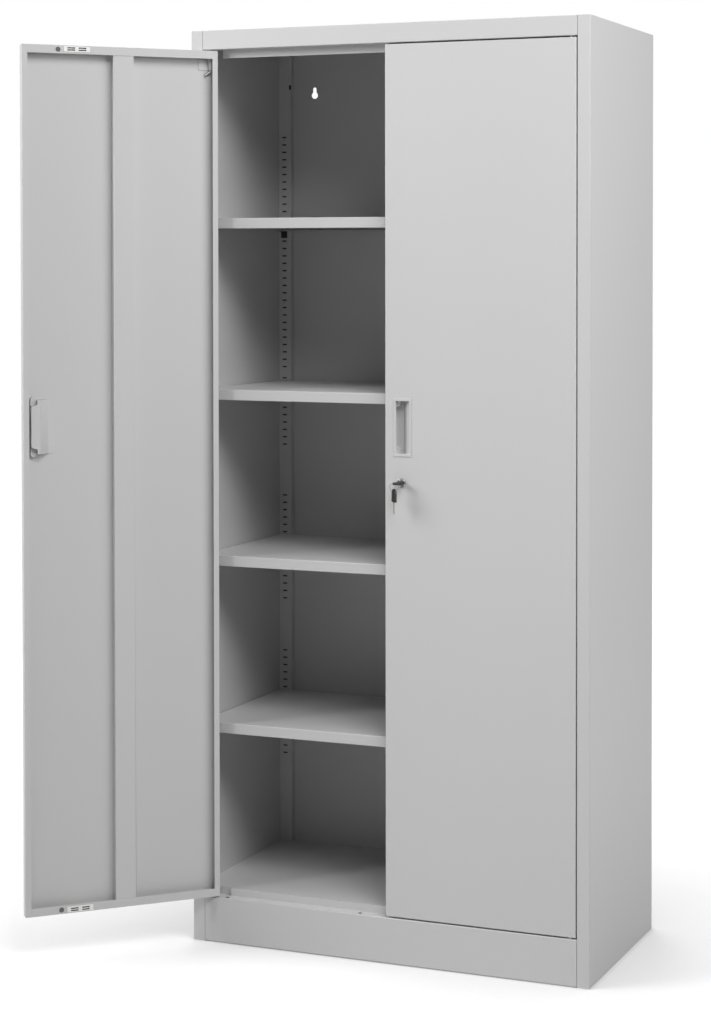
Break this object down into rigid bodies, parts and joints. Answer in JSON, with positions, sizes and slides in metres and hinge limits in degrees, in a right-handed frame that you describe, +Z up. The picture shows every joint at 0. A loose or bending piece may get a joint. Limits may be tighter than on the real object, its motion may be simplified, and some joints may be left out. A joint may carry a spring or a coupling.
{
  "type": "office cabinet",
  "caption": "Tall two-door steel office cabinet on a plinth, with lift-off shelves on clips, recessed handles, magnetic catches and a cam lock; one door stands open.",
  "frame": {"origin": "on the floor, at the middle of the plinth's foot flange: half way along the width and 10 mm behind the front face", "axes": "+Z up, +X to the viewer's right when facing the doors, +Y from the doors to the back panel"},
  "size_m": [1.09, 0.6798, 1.85],
  "materials": {
    "body_paint": "light grey powder coat, fine satin texture",
    "handle_plastic": "light grey moulded plastic, satin",
    "catch_plastic": "white moulded plastic, satin",
    "bumper_rubber": "grey rubber, matt",
    "zinc_steel": "bright zinc plate",
    "chrome": "polished chrome plate",
    "dark_steel": "dark phosphated steel",
    "key_plastic": "black moulded plastic"
  },
  "bodies": {
    "cabinet_body": {"side_panel_left": "body_paint", "front_upright_left": "body_paint", "rear_upright_left": "body_paint", "side_panel_right": "body_paint", "front_upright_right": "body_paint", "rear_upright_right": "body_paint", "top_panel": "body_paint", "base_panel": "body_paint", "back_panel": "body_paint", "shelf_clip_1_front_left": "dark_steel", "shelf_clip_1_rear_left": "dark_steel", "shelf_clip_1_front_right": "dark_steel", "shelf_clip_1_rear_right": "dark_steel", "shelf_clip_2_front_left": "dark_steel", "shelf_clip_2_rear_left": "dark_steel", "shelf_clip_2_front_right": "dark_steel", "shelf_clip_2_rear_right": "dark_steel", "shelf_clip_3_front_left": "dark_steel", "shelf_clip_3_rear_left": "dark_steel", "shelf_clip_3_front_right": "dark_steel", "shelf_clip_3_rear_right": "dark_steel", "shelf_clip_4_front_left": "dark_steel", "shelf_clip_4_rear_left": "dark_steel", "shelf_clip_4_front_right": "dark_steel", "shelf_clip_4_rear_right": "dark_steel"},
    "shelf_1": {"shelf_1": "body_paint"},
    "shelf_2": {"shelf_2": "body_paint"},
    "shelf_3": {"shelf_3": "body_paint"},
    "shelf_4": {"shelf_4": "body_paint"},
    "left_door": {"left_door_skin": "body_paint", "left_door_stiffener": "body_paint", "left_handle_cup": "handle_plastic", "left_catch_top": "catch_plastic", "left_catch_bottom": "catch_plastic", "left_bumper_top": "bumper_rubber", "left_bumper_bottom": "bumper_rubber", "left_hinge_barrel": "body_paint", "left_hinge_spring": "dark_steel", "left_foot_pin": "zinc_steel"},
    "left_top_pin": {"left_hinge_pin": "zinc_steel"},
    "right_door": {"right_door_skin": "body_paint", "right_door_stiffener": "body_paint", "right_handle_cup": "handle_plastic", "right_catch_top": "catch_plastic", "right_catch_bottom": "catch_plastic", "right_bumper_top": "bumper_rubber", "right_bumper_bottom": "bumper_rubber", "right_hinge_barrel": "body_paint", "right_hinge_spring": "dark_steel", "right_foot_pin": "zinc_steel", "lock_housing": "chrome", "lock_nut": "zinc_steel"},
    "right_top_pin": {"right_hinge_pin": "zinc_steel"},
    "lock_core": {"lock_plug": "chrome", "lock_cam": "zinc_steel", "cam_screw": "zinc_steel"},
    "key": {"key": "key_plastic"},
    "key_ring": {"key_ring": "chrome"},
    "spare_key": {"spare_key": "key_plastic"}
  },
  "joints": [
    {"name": "left_door_swing", "type": "hinge", "parent": "cabinet_body", "child": "left_door", "pos_m": [-0.385, -0.0045, 0.95], "axis": [0, 0, 1], "range_deg": [-1.8, 136.2]},
    {"name": "right_door_swing", "type": "hinge", "parent": "cabinet_body", "child": "right_door", "pos_m": [0.385, -0.0045, 0.95], "axis": [0, 0, 1], "range_deg": [0, 138]},
    {"name": "left_pin_pull", "type": "slide", "parent": "left_door", "child": "left_top_pin", "axis": [0, 0, -1], "range_m": [0, 0.012], "stiffness_N_per_m": 600, "springref_m": -0.004, "deforming": ["left_hinge_spring"]},
    {"name": "right_pin_pull", "type": "slide", "parent": "right_door", "child": "right_top_pin", "axis": [0, 0, -1], "range_m": [0, 0.012], "stiffness_N_per_m": 600, "springref_m": -0.004, "deforming": ["right_hinge_spring"]},
    {"name": "lock_turn", "type": "hinge", "parent": "right_door", "child": "lock_core", "pos_m": [0.037, -0.002, 0.9513], "axis": [0, 1, 0], "range_deg": [0, 90]},
    {"name": "key_pull", "type": "slide", "parent": "lock_core", "child": "key", "axis": [0, -1, 0], "range_m": [0, 0.0225]},
    {"name": "key_ring_swing", "type": "hinge", "parent": "key", "child": "key_ring", "pos_m": [0.03284, -0.03646, 0.9536], "axis": [-0.7071, -0.7071, 0], "range_deg": [-15, 15]},
    {"name": "spare_key_swing", "type": "hinge", "parent": "key_ring", "child": "spare_key", "pos_m": [0.03284, -0.03646, 0.93634], "axis": [-0.7071, -0.7071, 0], "range_deg": [-25, 60]},
    {"name": "shelf_1_lift", "type": "slide", "parent": "cabinet_body", "child": "shelf_1", "axis": [0, 0, 1], "range_m": [0, 0.03]},
    {"name": "shelf_2_lift", "type": "slide", "parent": "cabinet_body", "child": "shelf_2", "axis": [0, 0, 1], "range_m": [0, 0.03]},
    {"name": "shelf_3_lift", "type": "slide", "parent": "cabinet_body", "child": "shelf_3", "axis": [0, 0, 1], "range_m": [0, 0.03]},
    {"name": "shelf_4_lift", "type": "slide", "parent": "cabinet_body", "child": "shelf_4", "axis": [0, 0, 1], "range_m": [0, 0.03]}
  ]
}
